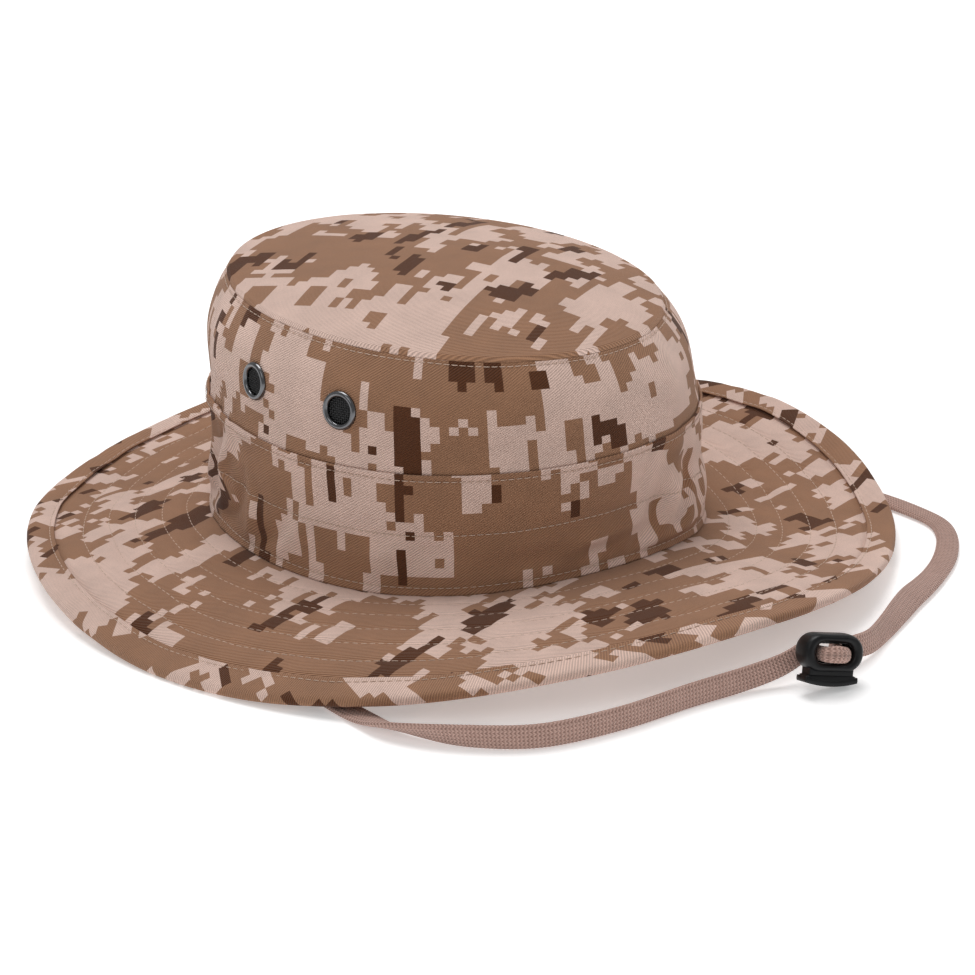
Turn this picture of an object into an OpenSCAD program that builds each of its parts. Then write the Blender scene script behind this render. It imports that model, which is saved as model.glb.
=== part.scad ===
// Boonie hat with a soft quilted brim, standing on its brim on a table.
// Front of the hat towards -Y, the wearer's left towards +X, table at z = 0.
// Angles run round the hat: 0 at the wearer's left, 90 at the back, 180 at the right, 270 at the front.

/* [Crown] */
// Half-width of the crown across the head, at its base seam
head_x = 86.5; // [80:0.5:92]
// Half-length of the crown from front to back, at its base seam
head_y = 103.7; // [97:0.1:110]
// Height of the lower band, from the brim to the band seam
band_h = 47; // [38:1:50]
// Half-width at the band seam
band_x = 85.5; // [79:0.5:91]
// Half-length at the band seam
band_y = 105; // [98:0.5:111]
// Height of the upper wall, from the band seam to the top seam
wall_h = 41; // [38:1:52]
// Half-width at the top seam
top_x = 73; // [68:0.5:78]
// Half-length at the top seam
top_y = 92.5; // [88:0.5:98]
// Rise of the domed top panel above its seam
dome_h = 11; // [8:0.5:16]
// How far the soft wall bellies out between its seams
wall_belly = 4; // [0:0.5:5]
// Sideways and forward lean of the crown's top
lean = [0.8, 0]; // [-3:0.1:3]

/* [Brim] */
// Width of the brim along the cloth
brim_w = 73; // [64:0.5:78]
// Mean height of the brim's root above its edge
brim_rise = 6.3; // [4:0.1:12]
// Width of the binding on the brim's upper side
binding_w = 10; // [8:0.5:12]
// Rows of quilting stitches, without the row along the binding
quilt_rows = 5; // [3:1:6]
// Distance between two rows
quilt_pitch = 10.3; // [9:0.1:11]

/* [Cloth] */
// Thickness of the twill
twill_t = 0.7; // [0.6:0.05:0.75]
// Thickness of the stiffening cloth between the brim's two faces
stiffener_t = 1; // [0.8:0.1:1.1]
// Thickness of the binding tape
tape_t = 0.6; // [0.5:0.05:0.65]
// Gap left between two cloths that are sewn together
gap = 0.05; // [0.03:0.01:0.1]
// Thickness of the sewing thread
thread_t = 0.35; // [0.25:0.05:0.5]

/* [Vents] */
// Outer diameter of an eyelet's flange
vent_d = 14.6; // [14:0.2:17]
// Diameter of the hole through the eyelet
vent_hole_d = 9.8; // [9:0.2:11]
// Angles of the eyelets round the crown
vent_at = [169.5, 195.4, 344.6, 10.5]; // [0:0.1:359]

/* [Chin cord] */
// Width of the flat braid
cord_w = 9.4; // [8:0.2:10]
// Thickness of the flat braid
cord_t = 2.4; // [2:0.1:2.6]

/* [Cord lock] */
// Width of the lock's body
lock_w = 22.6; // [22.4:0.2:24]
// Depth of the lock's body
lock_d = 9.6; // [9.4:0.1:11]
// Travel of the plunger when it is pressed
plunger_travel = 1.2; // [0.8:0.1:1.2]
// Place of the lock's foot on the table
lock_at = [-5, -206]; // [-220:1:220]
// Turn of the lock's window away from the front
lock_turn = -20; // [-40:1:10]
// How far the lock leans back
lock_lean = 14; // [0:1:15]
// How far the lock rolls onto one side on its curved button
lock_roll = 14; // [0:1:15]

/* [Hidden] */

SEGMENTS = 72;
ROUND = [for (i = [0 : SEGMENTS - 1]) i * 360 / SEGMENTS];

// The soft cloth waves gently round the hat. Each term is [waves per turn, height, angle of a crest].
SEAM_WAVE = [[2, 3.2, 55], [3, 3, 32]];
EDGE_WAVE = [[1, 3.6, -50], [2, 2.4, 71], [3, 3.7, 12], [4, 2.8, -19], [5, 1.4, -10]];
BOW_WAVE = [[1, 2.7, -162], [2, 1.7, 32]];
TOP_WAVE = [[1, 4.8, 127]];
MEAN_BOW = -0.8;

// Brim layers from below, as heights over the brim's lower face
stiffener_z = twill_t + gap;
upper_z = stiffener_z + stiffener_t + gap;
brim_t = upper_z + twill_t;
SEAM_ALLOWANCE = 2.6;

// Crown layers from outside, as distances out from the base outline
band_out = gap + twill_t;
wall_in = -twill_t;
STRAP_OUT = -0.9;
STRAP_T = 0.9;
SWEAT_OUT = STRAP_OUT - STRAP_T - gap;
SWEAT_T = 1;
LOOP_OUT = SWEAT_OUT - SWEAT_T - gap;
LOOP_T = 0.9;
HOOK_OUT = LOOP_OUT - LOOP_T - 0.35;
HOOK_T = 0.9;
TAB_OUT = HOOK_OUT - HOOK_T - gap;
TAB_T = 1.2;

// The lock's heights, from the table up
HEAD_H = 2.4;
BODY_Z = 5.6;
BODY_TOP = 18.4;
CORNER_R = 4.5;
WINDOW_Z = 8.5;
WINDOW_H = 7;
WINDOW_W = 14.6;
CAVITY_W = 18;
CAVITY_D = 6.6;
CAVITY_TOP = 17.4;
BAR_Z = 15.2;
BAR_H = 0.7;
BUTTON_R = 40;
LOCK_LIFT = 1.1;
SLIDE_GAP = 0.2;
SPRING_L = 12;
SPRING_W = 4;
SPRING_T = 0.3;

// The cord's route from the tab at the wearer's right, through the lock, to the tab at the left:
// x, y, height of the middle, how flat it lies (0 on its edge, 90 flat), width
ROUTE = [
    [-105, -8.1, 10.5, 90, 9.4],
    [-113, -12.5, 9, 90, 9.4],
    [-122.5, -26, 5.4, 90, 9.4],
    [-129, -46, 2.2, 90, 9.4],
    [-133, -70, 1.4, 90, 9.4],
    [-136.5, -94, 1.6, 86, 9.4],
    [-137, -112, 3.8, 54, 9.4],
    [-128, -136.5, 4.8, 14, 9.4],
    [-111, -157, 4.9, 4, 9.4],
    [-84, -168.5, 4.9, 3, 9.4],
    [-54, -174.8, 4.9, 1, 9.4],
    [-33, -181, 5.4, 0, 9.4],
    [-20, -187, 8, -6, 8.2],
    [-11.1, -190.6, 11.7, -12, 7],
    [-13.3, -194.7, 13.4, -14, 6.4],
    [-15, -201.5, 15.2, -18, 6.2],
    [-14.2, -205, 15.3, -18, 6.2],
    [-10.2, -206.7, 14.2, -9, 6.2],
    [-7, -205.1, 13, 6, 6.2],
    [-4.5, -198.5, 11.1, 13, 6.4],
    [-2.4, -194.6, 9.4, 12, 7],
    [2.4, -193.6, 8.2, 8, 8],
    [9, -195.2, 7.2, 2, 8.8],
    [19, -194.6, 5.6, -6, 9.4],
    [33, -189.8, 4.9, -18, 9.4],
    [47.5, -184, 4.6, -36, 9.4],
    [61, -178.4, 3.9, -54, 9.4],
    [74, -173.7, 2.8, -72, 9.4],
    [86, -168.8, 1.9, -84, 9.4],
    [98, -163, 1.4, -90, 9.4],
    [109, -156, 1.4, -90, 8.8],
    [119, -147.3, 1.4, -90, 8.2],
    [125.8, -137.4, 1.4, -90, 8],
    [129, -124, 1.4, -90, 8.2],
    [130.5, -105, 1.4, -90, 8.8],
    [129, -78, 1.6, -90, 9.4],
    [124.5, -50, 2.8, -90, 9.4],
    [117, -26, 6, -90, 9.4],
    [110, -12.8, 7.8, -90, 9.4],
    [103.95, -8.1, 8.6, -90, 9.4]
];

function total(v, i = 0) = i < len(v) ? v[i] + total(v, i + 1) : 0;
function wave(terms, a) = total([for (t = terms) t[1] * cos(t[0] * (a - t[2]))]);
function mix(p, q, t) = p + (q - p) * t;
function reverse(v) = [for (i = [len(v) - 1 : -1 : 0]) v[i]];

// Brim: height of its lower face at the root and at the edge, so that the lowest binding touches z = 0
lift = tape_t + gap - min([for (a = ROUND) wave(EDGE_WAVE, a)]);
function root_z(a) = lift + brim_rise + wave(SEAM_WAVE, a);
function edge_z(a) = lift + wave(EDGE_WAVE, a);
function bow(a) = MEAN_BOW + wave(BOW_WAVE, a);
function plan_w(a) = sqrt(pow(brim_w, 2) - pow(root_z(a) - edge_z(a), 2));
function outward(a) = let (n = [cos(a) / head_x, sin(a) / head_y]) n / norm(n);
function brim_raw(a, u) =
    let (n = outward(a), t = max(0, u) / plan_w(a))
    [head_x * cos(a) + n[0] * u, head_y * sin(a) + n[1] * u,
     mix(root_z(a), edge_z(a), t) + 4 * bow(a) * t * (1 - t)];

// The hat's outline is centred on the Z axis.
OUTLINE = [for (a = ROUND) brim_raw(a, plan_w(a) + tape_t)];
function middle(axis) = let (v = [for (p = OUTLINE) p[axis]]) (min(v) + max(v)) / 2;
centre = [middle(0), middle(1), 0];
function brim_pt(a, u, h) = brim_raw(a, u) - centre + [0, 0, h];

// Crown: v runs from 0 at the base seam, over 1 at the band seam, to 2 at the top seam.
function swell(t) = wall_belly * sin(180 * pow(t, 1.4));
function belly(v) =
    let (k = min(4, floor((v - 1) * 5 + 0.001)))
    mix(swell(k / 5), swell((k + 1) / 5), (v - 1) * 5 - k);
function half_x(v) = v <= 1 ? mix(head_x, band_x, v) : mix(band_x, top_x, v - 1) + belly(v);
function half_y(v) = v <= 1 ? mix(head_y, band_y, v) : mix(band_y, top_y, v - 1) + belly(v);
function seat_z(a) = root_z(a) + brim_t + 0.25;
function band_z(a) = lift + brim_rise + brim_t + band_h + 0.3 * wave(SEAM_WAVE, a);
function top_z(a) = lift + brim_rise + brim_t + band_h + wall_h + wave(TOP_WAVE, a);
function crown_z(a, v) = v <= 1 ? mix(seat_z(a), band_z(a), v) : mix(band_z(a), top_z(a), v - 1);
function crown_pt(a, v, d) =
    let (n = outward(a))
    [half_x(v) * cos(a) + n[0] * d + lean[0] * v / 2,
     half_y(v) * sin(a) + n[1] * d + lean[1] * v / 2, crown_z(a, v)] - centre;

// Top panel: r runs from 0 in the middle to 1 at the seam.
function panel_pt(a, r, h) =
    [top_x * cos(a) * r + lean[0], top_y * sin(a) * r + lean[1],
     mix(top_z(0) + top_z(90), top_z(a) * 2, pow(r, 2)) / 2 + dome_h * (1 - pow(r, 2.2)) + h] - centre;

// Two triangles for each cell between neighbouring rings, and the ends of a strip that doesn't close.
// The second half of the rings is the face's other side, so its cells are cut along the same diagonal.
function cells(m, n, last) =
    [for (i = [0 : m - 1], j = [0 : last - 1])
        let (k = (i + 1) % m, l = (j + 1) % n)
        each i < m / 2 ? [[i * n + j, k * n + l, i * n + l], [i * n + j, k * n + j, k * n + l]]
            : [[i * n + j, k * n + j, i * n + l], [k * n + j, k * n + l, i * n + l]]];
function caps(m, n) =
    [for (k = [0 : m / 2 - 2])
        let (p = k * n, q = (k + 1) * n, r = (m - 2 - k) * n, s = (m - 1 - k) * n, e = n - 1)
        each [[p, s, r], [p, r, q], [p + e, q + e, r + e], [p + e, r + e, s + e]]];

// A closed hoop through rings of points, given in order round its section
module hoop(rings) {
    n = len(rings[0]);
    polyhedron([for (ring = rings) each ring], cells(len(rings), n, n));
}

// A strip that covers part of a turn, with its two ends closed
module strip(rings) {
    n = len(rings[0]);
    polyhedron([for (ring = rings) each ring], concat(cells(len(rings), n, n - 1), caps(len(rings), n)));
}

function steps(from, to, count) = [for (i = [0 : count]) mix(from, to, i / count)];

// One cloth of the brim between two heights, with a ring of points under each row of stitches
function brim_rings(a) = let (w = plan_w(a)) concat(
    [-SEAM_ALLOWANCE], [for (i = [0 : quilt_rows]) i * quilt_pitch * w / brim_w],
    [w - binding_w, w - binding_w / 2, w]);
module brim_cloth(h_low, h_high) {
    last = len(brim_rings(0)) - 1;
    low = [for (i = [0 : last]) [for (a = ROUND) brim_pt(a, brim_rings(a)[i], h_low)]];
    high = [for (i = [0 : last]) [for (a = ROUND) brim_pt(a, brim_rings(a)[i], h_high)]];
    hoop(concat(low, reverse(high)));
}

// One cloth of the crown through a list of heights, from the distance out d_in to d_out
module crown_cloth(heights, d_in, d_out) {
    outer = [for (s = heights) [for (a = ROUND) crown_pt(a, s, d_out)]];
    inner = [for (s = heights) [for (a = ROUND) crown_pt(a, s, d_in)]];
    hoop(concat(outer, reverse(inner)));
}

// The same over the angles a_from to a_to only
module crown_strip(a_from, a_to, v_from, v_to, d_in, d_out, stations, count = 1) {
    angles = steps(a_from, a_to, stations);
    v = steps(v_from, v_to, count);
    outer = [for (s = v) [for (a = angles) crown_pt(a, s, d_out)]];
    inner = [for (s = v) [for (a = angles) crown_pt(a, s, d_in)]];
    strip(concat(outer, reverse(inner)));
}

module crown_top() {
    r = steps(0.15, 1, 5);
    low = [for (s = r) [for (a = ROUND) panel_pt(a, s, gap)]];
    high = [for (s = r) [for (a = ROUND) panel_pt(a, s, gap + twill_t)]];
    rings = concat(low, reverse(high));
    m = len(rings);
    n = SEGMENTS;
    sides = [for (i = [0 : m - 2], j = [0 : n - 1])
        let (l = (j + 1) % n)
        each [[i * n + j, (i + 1) * n + l, i * n + l], [i * n + j, (i + 1) * n + j, (i + 1) * n + l]]];
    floor_fan = [for (j = [0 : n - 1]) [m * n, j, (j + 1) % n]];
    roof_fan = [for (j = [0 : n - 1]) [m * n + 1, (m - 1) * n + (j + 1) % n, (m - 1) * n + j]];
    middles = [for (h = [gap, gap + twill_t]) panel_pt(0, 0, h)];
    color("tan")
        polyhedron(concat([for (ring = rings) each ring], middles), concat(sides, floor_fan, roof_fan));
}

module crown_wall() {
    color("tan") difference() {
        crown_cloth(concat([0.88], steps(1, 2, 5)), wall_in, 0);
        for (a = vent_at) on_wall(a) cylinder(r = vent_hole_d / 2 + 0.6, h = 12, center = true, $fn = 48);
    }
}

module crown_band() {
    color("tan") crown_cloth(steps(0, 1, 2), gap, band_out);
}

module sweatband() {
    color("tan") crown_cloth([0.02, 0.72], SWEAT_OUT - SWEAT_T, SWEAT_OUT);
}

module size_strap() {
    color("peru") crown_strip(110, 430, 0.06, 0.44, STRAP_OUT - STRAP_T, STRAP_OUT, 64);
}

module loop_tape() {
    color("burlywood") crown_strip(65, 120, 0.1, 0.5, LOOP_OUT - LOOP_T, LOOP_OUT, 11);
}

module strap_anchor() {
    color("peru") crown_strip(50, 60, 0.1, 0.5, TAB_OUT - TAB_T, LOOP_OUT, 2);
}

TAB_FROM = 60.4;
TAB_STEP = 3.1;
module adjuster_tab() {
    color("peru") crown_strip(TAB_FROM, TAB_FROM + 16 * TAB_STEP, 0.12, 0.48, TAB_OUT - TAB_T, TAB_OUT, 16);
}

module hook_pad() {
    color("sienna") crown_strip(TAB_FROM + 3 * TAB_STEP, TAB_FROM + 15 * TAB_STEP, 0.14, 0.46,
                                HOOK_OUT - HOOK_T, HOOK_OUT, 12);
}

module top_seam_tape() {
    color("burlywood") crown_cloth([1.8, 1.985], wall_in - gap - tape_t, wall_in - gap);
}

module back_seam_tape() {
    color("burlywood") crown_strip(85, 95, 1, 1.79, wall_in - gap - tape_t, wall_in - gap, 2, 4);
}

module brim_upper() {
    color("tan") brim_cloth(upper_z, upper_z + twill_t);
}

module brim_stiffener() {
    color("beige") brim_cloth(stiffener_z, stiffener_z + stiffener_t);
}

module brim_lower() {
    color("tan") brim_cloth(0, twill_t);
}

// The binding is folded round the edge of the three brim cloths.
module brim_binding() {
    low = -gap - tape_t;
    high = brim_t + gap + tape_t;
    section = [
        [-binding_w, low], [-binding_w / 2, low], [0, low],
        [gap + tape_t, -gap], [gap + tape_t, brim_t + gap],
        [0, high], [-binding_w / 2, high], [-binding_w, high],
        [-binding_w, brim_t + gap], [-binding_w / 2, brim_t + gap], [gap, brim_t + gap],
        [gap, -gap], [-binding_w / 2, -gap], [-binding_w, -gap]
    ];
    color("rosybrown") hoop([for (p = section) [for (a = ROUND) brim_pt(a, plan_w(a) + p[0], p[1])]]);
}

// A thread ring lying on the brim, at the distance u in from its edge
module brim_row(u) {
    half = thread_t / 2;
    h = brim_t + gap;
    section = [[u - half, h], [u + half, h], [u, h + thread_t]];
    hoop([for (p = section) [for (a = ROUND) brim_pt(a, p[0] * plan_w(a) / brim_w, p[1])]]);
}

module brim_thread() {
    color("wheat") for (i = [1 : quilt_rows]) brim_row(i * quilt_pitch);
}

// A thread ring on the crown's outside, at the height v, over the cloth face at d
module crown_row(v, d) {
    half = thread_t / 2 / band_h;
    section = [[v - half, d], [v, d + thread_t], [v + half, d]];
    hoop([for (p = section) [for (a = ROUND) crown_pt(a, p[0], p[1])]]);
}

module crown_thread() {
    color("wheat") {
        crown_row(0.06, band_out + gap);
        crown_row(0.5, band_out + gap);
        crown_row(0.955, band_out + gap);
        crown_row(1.955, gap);
    }
}

// Puts its children on the crown's wall at an angle, with +Z pointing straight out of the wall.
VENT_V = 1.48;
module on_wall(a) {
    place = crown_pt(a, VENT_V, 0);
    up = crown_pt(a, VENT_V + 0.1, 0) - crown_pt(a, VENT_V - 0.1, 0);
    n = outward(a);
    tilt = atan2(-(up[0] * n[0] + up[1] * n[1]), up[2]);
    translate(place) rotate([0, 90 - tilt, atan2(n[1], n[0])]) children();
}

module vent_eyelets() {
    flange_r = vent_d / 2;
    hole_r = vent_hole_d / 2;
    color("dimgray") for (a = vent_at) on_wall(a) rotate_extrude($fn = 72)
        polygon([
            [hole_r, -3], [hole_r + 0.4, -3], [hole_r + 0.4, 0.12], [flange_r, 0.12],
            [flange_r, 0.5], [flange_r - 0.5, 1], [flange_r - 1.2, 1.2], [hole_r + 0.5, 1.2], [hole_r, 0.8]
        ]);
}

module vent_washers() {
    color("gray") for (a = vent_at) on_wall(a) translate([0, 0, -2.7]) rotate_extrude($fn = 72)
        translate([vent_hole_d / 2 + 0.45, 0]) square([2.4, 0.7]);
}

module vent_screens() {
    color("black") for (a = vent_at) on_wall(a) translate([0, 0, -0.4])
        cylinder(r = vent_hole_d / 2 - 0.02, h = 0.4, $fn = 72);
}

// A folded tab under the brim's root that holds an end of the cord
module cord_tab(a_from, a_to) {
    angles = steps(a_from, a_to, 4);
    low = [for (u = [2, 10, 18]) [for (a = angles) brim_pt(a, u, -4.3)]];
    high = [for (u = [2, 10, 18]) [for (a = angles) brim_pt(a, u, -0.3)]];
    color("tan") strip(concat(low, reverse(high)));
}

module cord_tab_left() {
    cord_tab(-8, 0);
}

module cord_tab_right() {
    cord_tab(180, 188);
}

// The cord's section is a flattened octagon. Its width stands up where lie is 0 and lies level at 90.
SIDES = 8;
function section_at(p, along, lie, w) =
    let (side = [-along[1], along[0], 0] / norm([along[0], along[1]]),
         rise = cross(along / norm(along), side) * -1,
         across = side * sin(lie) + rise * cos(lie),
         through = side * cos(lie) - rise * sin(lie))
    [for (i = [0 : SIDES - 1])
        let (c = cos((i + 0.5) * 45), s = sin((i + 0.5) * 45))
        p + across * c * w / 2 / cos(22.5) + through * s * cord_t / 2 / cos(22.5)];
function bend(p0, p1, p2, p3, t) =
    (p1 * 2 + (p2 - p0) * t + (p0 * 2 - p1 * 5 + p2 * 4 - p3) * pow(t, 2)
        + (p1 * 3 - p0 - p2 * 3 + p3) * pow(t, 3)) / 2;
function route_at(k, t) =
    let (last = len(ROUTE) - 1)
    bend(ROUTE[max(0, k - 1)], ROUTE[k], ROUTE[min(last, k + 1)], ROUTE[min(last, k + 2)], t);

module chin_cord() {
    last = len(ROUTE) - 1;
    line = [for (k = [0 : last], t = k > 5 && k < 32 ? [0, 0.5] : [0]) route_at(k, t)];
    n = len(line);
    rings = [for (i = [0 : n - 1])
        let (q = line[i], f = line[min(n - 1, i + 1)] - line[max(0, i - 1)])
        section_at([q[0], q[1], q[2]], [f[0], f[1], f[2]], q[3], q[4])];
    sides = [for (i = [0 : n - 2], j = [0 : SIDES - 1])
        let (l = (j + 1) % SIDES, p = i * SIDES, q = (i + 1) * SIDES)
        each [[p + j, q + l, p + l], [p + j, q + j, q + l]]];
    start_cap = [for (j = [1 : SIDES - 2]) [0, j, j + 1]];
    end_cap = [for (j = [1 : SIDES - 2]) [0, j + 1, j] + [1, 1, 1] * (n - 1) * SIDES];
    color("rosybrown") polyhedron([for (ring = rings) each ring], concat(sides, start_cap, end_cap));
}

// The lock leans back and rolls on the curved underside of its button.
module at_lock() {
    translate([lock_at[0], lock_at[1], LOCK_LIFT]) rotate([0, 0, lock_turn]) rotate([-lock_lean, 0, 0])
        translate([0, 0, BUTTON_R]) rotate([0, lock_roll, 0]) translate([0, 0, -BUTTON_R]) children();
}

// A flat shape with round ends, drawn in the XZ plane and given its depth along Y
module upright(depth) {
    translate([0, depth / 2, 0]) rotate([90, 0, 0]) linear_extrude(depth) children();
}

module oval(w, h, r) {
    for (x = [-1, 1], z = [-1, 1]) translate([x * (w / 2 - r), z * (h / 2 - r)]) circle(r, $fn = 64);
    square([w - 2 * r, h], center = true);
    square([w, h - 2 * r], center = true);
}

module lock_body() {
    h = BODY_TOP - BODY_Z;
    color("black") at_lock() difference() {
        upright(lock_d) translate([0, BODY_Z + h / 2]) oval(lock_w, h, CORNER_R);
        upright(lock_d + 2) translate([0, WINDOW_Z + WINDOW_H / 2]) oval(WINDOW_W, WINDOW_H, 1.2);
        translate([-CAVITY_W / 2, -CAVITY_D / 2, 0]) cube([CAVITY_W, CAVITY_D, CAVITY_TOP]);
    }
}

module lock_plunger() {
    w = CAVITY_W - 2 * SLIDE_GAP;
    d = CAVITY_D - 2 * SLIDE_GAP;
    sill = WINDOW_Z - plunger_travel;
    color("black") at_lock() difference() {
        union() {
            upright(d) translate([-w / 2, HEAD_H]) square([w, BAR_Z + BAR_H - HEAD_H]);
            intersection() {
                upright(lock_d - 2) polygon([[-10.4, 0], [10.4, 0], [9.9, HEAD_H], [-9.9, HEAD_H]]);
                translate([0, 0, BUTTON_R]) rotate([90, 0, 0])
                    cylinder(r = BUTTON_R, h = lock_d, center = true, $fn = 256);
            }
        }
        upright(lock_d) translate([-WINDOW_W / 2, sill]) square([WINDOW_W, BAR_Z - sill]);
    }
}

// A bowed leaf spring between the plunger's bar and the top of the cavity
module lock_spring() {
    rise = CAVITY_TOP - BAR_Z - BAR_H - SPRING_T - 2 * gap;
    r = (pow(SPRING_L / 2, 2) + pow(rise, 2)) / 2 / rise;
    z = BAR_Z + BAR_H + gap;
    color("silver") at_lock() intersection() {
        translate([0, 0, z + rise - r]) rotate([90, 0, 0]) difference() {
            cylinder(r = r + SPRING_T, h = SPRING_W, center = true, $fn = 128);
            cylinder(r = r, h = SPRING_W + 2, center = true, $fn = 128);
        }
        translate([-SPRING_L / 2, -SPRING_W, z]) cube([SPRING_L, 2 * SPRING_W, 10]);
    }
}

crown_top();
crown_wall();
crown_band();
sweatband();
size_strap();
loop_tape();
strap_anchor();
adjuster_tab();
hook_pad();
top_seam_tape();
back_seam_tape();
brim_upper();
brim_stiffener();
brim_lower();
brim_binding();
brim_thread();
crown_thread();
vent_eyelets();
vent_washers();
vent_screens();
cord_tab_left();
cord_tab_right();
chin_cord();
lock_body();
lock_plunger();
lock_spring();
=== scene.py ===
import bpy
import math
import numpy as np
from mathutils import Matrix


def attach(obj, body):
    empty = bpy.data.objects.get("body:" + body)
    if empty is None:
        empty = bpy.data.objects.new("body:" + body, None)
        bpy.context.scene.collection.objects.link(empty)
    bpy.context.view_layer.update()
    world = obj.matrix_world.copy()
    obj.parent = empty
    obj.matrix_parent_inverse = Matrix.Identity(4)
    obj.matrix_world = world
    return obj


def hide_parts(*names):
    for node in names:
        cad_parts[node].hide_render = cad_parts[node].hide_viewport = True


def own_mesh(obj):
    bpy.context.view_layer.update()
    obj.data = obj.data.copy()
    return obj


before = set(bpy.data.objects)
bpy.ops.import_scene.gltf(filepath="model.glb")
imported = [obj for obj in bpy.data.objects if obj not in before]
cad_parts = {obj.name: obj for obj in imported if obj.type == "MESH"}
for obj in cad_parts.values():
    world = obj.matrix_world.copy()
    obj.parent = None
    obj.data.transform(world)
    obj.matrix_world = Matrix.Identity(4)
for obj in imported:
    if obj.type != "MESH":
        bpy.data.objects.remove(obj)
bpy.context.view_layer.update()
MM = 0.001

# ---------------------------------------------------------------- camera, cord route, lights and world
VIEW = np.array([0.62964451, 0.68569342, -0.36520176])
SIDEWAYS = np.array([0.72087681, -0.69092501, -0.05439901])
UPWARD = np.array([0.28962807, 0.22901344, 0.92933762])
CAMERA_AT = (-0.94505, -1.02834, 0.58825)
PAN, TILT = 0.00929, -0.01157
LENS = 143.1


def unit(v):
    return v / np.linalg.norm(v, axis=-1, keepdims=True)


def cosd(a):
    return np.cos(np.radians(a))


def sind(a):
    return np.sin(np.radians(a))


def make_camera():
    data = bpy.data.cameras.new("camera")
    data.lens = LENS
    data.sensor_width = 36
    data.clip_start = 0.05
    data.clip_end = 40
    cam = bpy.data.objects.new("camera", data)
    bpy.context.scene.collection.objects.link(cam)
    aim = unit(VIEW + PAN * SIDEWAYS + TILT * UPWARD)
    right = unit(np.cross(aim, UPWARD))
    up = np.cross(right, aim)
    m = np.eye(4)
    m[:3, 0], m[:3, 1], m[:3, 2] = right, up, -aim
    m[:3, 3] = CAMERA_AT
    cam.matrix_world = Matrix(m.tolist())
    bpy.context.scene.camera = cam


make_camera()

# The cord's route from the tab at the wearer's right, through the lock, to the tab at the left:
# x, y, height of the middle, how flat it lies in degrees, width. Lengths in metres.
ROUTE = [
    (-0.105, -0.0081, 0.0105, 90, 0.0094), (-0.113, -0.0125, 0.009, 90, 0.0094),
    (-0.1225, -0.026, 0.0054, 90, 0.0094), (-0.129, -0.046, 0.0022, 90, 0.0094),
    (-0.133, -0.07, 0.0014, 90, 0.0094), (-0.1365, -0.094, 0.0016, 86, 0.0094),
    (-0.137, -0.112, 0.0038, 54, 0.0094), (-0.128, -0.1365, 0.0048, 14, 0.0094),
    (-0.111, -0.157, 0.0049, 4, 0.0094), (-0.084, -0.1685, 0.0049, 3, 0.0094),
    (-0.054, -0.1748, 0.0049, 1, 0.0094), (-0.033, -0.181, 0.0054, 0, 0.0094),
    (-0.02, -0.187, 0.008, -6, 0.0082), (-0.0111, -0.1906, 0.0117, -12, 0.007),
    (-0.0133, -0.1947, 0.0134, -14, 0.0064), (-0.015, -0.2015, 0.0152, -18, 0.0062),
    (-0.0142, -0.205, 0.0153, -18, 0.0062), (-0.0102, -0.2067, 0.0142, -9, 0.0062),
    (-0.007, -0.2051, 0.013, 6, 0.0062), (-0.0045, -0.1985, 0.0111, 13, 0.0064),
    (-0.0024, -0.1946, 0.0094, 12, 0.007), (0.0024, -0.1936, 0.0082, 8, 0.008),
    (0.009, -0.1952, 0.0072, 2, 0.0088), (0.019, -0.1946, 0.0056, -6, 0.0094),
    (0.033, -0.1898, 0.0049, -18, 0.0094), (0.0475, -0.184, 0.0046, -36, 0.0094),
    (0.061, -0.1784, 0.0039, -54, 0.0094), (0.074, -0.1737, 0.0028, -72, 0.0094),
    (0.086, -0.1688, 0.0019, -84, 0.0094), (0.098, -0.163, 0.0014, -90, 0.0094),
    (0.109, -0.156, 0.0014, -90, 0.0088), (0.119, -0.1473, 0.0014, -90, 0.0082),
    (0.1258, -0.1374, 0.0014, -90, 0.008), (0.129, -0.124, 0.0014, -90, 0.0082),
    (0.1305, -0.105, 0.0014, -90, 0.0088), (0.129, -0.078, 0.0016, -90, 0.0094),
    (0.1245, -0.05, 0.0028, -90, 0.0094), (0.117, -0.026, 0.006, -90, 0.0094),
    (0.11, -0.0128, 0.0078, -90, 0.0094), (0.10395, -0.0081, 0.0086, -90, 0.0094),
]
CORD_T = 0.0024


HAT_MIDDLE = (0, 0, 0.05)


def light(name, spot, size, power):
    """A square area light of the given side, aimed at the middle of the hat."""
    data = bpy.data.lights.new(name, "AREA")
    data.size = size
    data.energy = power
    o = bpy.data.objects.new(name, data)
    bpy.context.scene.collection.objects.link(o)
    o.location = spot
    back = unit(np.array(spot) - np.array(HAT_MIDDLE))
    side = unit(np.cross((0, 0, 1), back))
    m = np.eye(4)
    m[:3, 0], m[:3, 1], m[:3, 2], m[:3, 3] = side, np.cross(back, side), back, spot
    o.matrix_world = Matrix(m.tolist())


light("key", (-1.9, -0.7, 1.9), 1.3, 7)
light("top", (0.3, 0.7, 2.6), 1.6, 41)
light("rim", (1.7, -1.3, 1.3), 0.9, 6)
bpy.context.scene.view_settings.view_transform = "Standard"

world = bpy.data.worlds.new("studio")
bpy.context.scene.world = world
world.use_nodes = True
world.node_tree.nodes["Background"].inputs["Color"].default_value = (1, 1, 1, 1)
world.node_tree.nodes["Background"].inputs["Strength"].default_value = 0.38


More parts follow.
